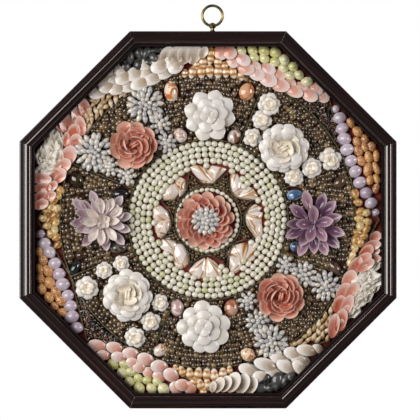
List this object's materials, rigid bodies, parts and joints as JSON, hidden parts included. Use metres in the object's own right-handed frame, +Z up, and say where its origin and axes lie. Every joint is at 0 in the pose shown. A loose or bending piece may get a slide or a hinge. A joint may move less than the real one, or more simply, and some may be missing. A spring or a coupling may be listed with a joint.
{
  "type": "shell picture",
  "caption": "Octagonal hanging picture of whole shells laid as flowers, rings and borders on a red ground, in a dark moulded frame with a brass ring on top.",
  "frame": {"origin": "inside of the top of the hanging ring, where a hook or nail bears, in the middle of the ring's wire from front to back", "axes": "+Z up; the picture faces -Y, with its back flat to the wall at y = 0.012 m; +X to the viewer's right"},
  "size_m": [0.36, 0.034, 0.3869],
  "materials": {
    "dark_hardwood": "polished, near-black with red in the light",
    "plain_board": "unfinished",
    "red_paper": "matt",
    "aged_brass": "aged",
    "gilt_card": "dull gilt edge",
    "salmon_shell": "satin",
    "rice_shell": "glossy blue-white",
    "green_shell": "satin pale green",
    "mother_of_pearl": "pearly, banded",
    "brown_snails": "glossy",
    "white_shell": "satin",
    "mauve_cream_shell": "satin",
    "purple_shell": "satin",
    "orange_oval_shell": "satin",
    "pink_shell": "satin",
    "clam_shell": "satin",
    "salmon_clam_shell": "satin",
    "banded_shell": "glossy, banded",
    "golden_shell": "glossy",
    "shell_crumb": "mixed crumb",
    "straw_shell": "satin"
  },
  "bodies": {
    "root": {"frame_rail_N": "dark_hardwood", "frame_rail_NE": "dark_hardwood", "frame_rail_E": "dark_hardwood", "frame_rail_SE": "dark_hardwood", "frame_rail_S": "dark_hardwood", "frame_rail_SW": "dark_hardwood", "frame_rail_W": "dark_hardwood", "frame_rail_NW": "dark_hardwood", "back_board": "plain_board", "ground_board": "red_paper", "ring_stud": "aged_brass", "hanging_ring": "aged_brass", "card_partitions": "gilt_card", "card_inner_ring": "gilt_card", "card_scallops": "gilt_card", "rosette": "salmon_shell", "rosette_centre": "rice_shell", "bead_ring": "green_shell", "pearl_lunettes": "mother_of_pearl", "green_bead_field": "green_shell", "snail_bed_N": "brown_snails", "snail_bed_NE": "brown_snails", "snail_bed_E": "brown_snails", "snail_bed_SE": "brown_snails", "snail_bed_S": "brown_snails", "snail_bed_SW": "brown_snails", "snail_bed_W": "brown_snails", "snail_bed_NW": "brown_snails", "flower_N": "white_shell", "flower_S": "white_shell", "flower_W": "mauve_cream_shell", "flower_E": "purple_shell", "flower_NW": "salmon_shell", "flower_SE": "salmon_shell", "flower_NE": "white_shell", "flower_SW": "white_shell", "daisies_NW_left": "rice_shell", "daisies_NW_right": "rice_shell", "daisies_SE_left": "rice_shell", "daisies_SE_right": "rice_shell", "florets_NE_left": "white_shell", "florets_NE_right": "white_shell", "florets_SW_left": "white_shell", "florets_SW_right": "white_shell", "corner_field_1": "orange_oval_shell", "corner_field_5": "orange_oval_shell", "corner_field_2": "pink_shell", "corner_field_6": "pink_shell", "corner_field_3": "clam_shell", "corner_field_7": "clam_shell", "corner_field_4": "salmon_clam_shell", "corner_field_8": "salmon_clam_shell", "side_cap_N": "banded_shell", "side_cap_S": "banded_shell", "side_cap_E": "golden_shell", "side_cap_W": "golden_shell", "side_cap_NE": "shell_crumb", "side_cap_SW": "shell_crumb", "side_cap_NW": "straw_shell", "side_cap_SE": "straw_shell"}
  },
  "joints": []
}
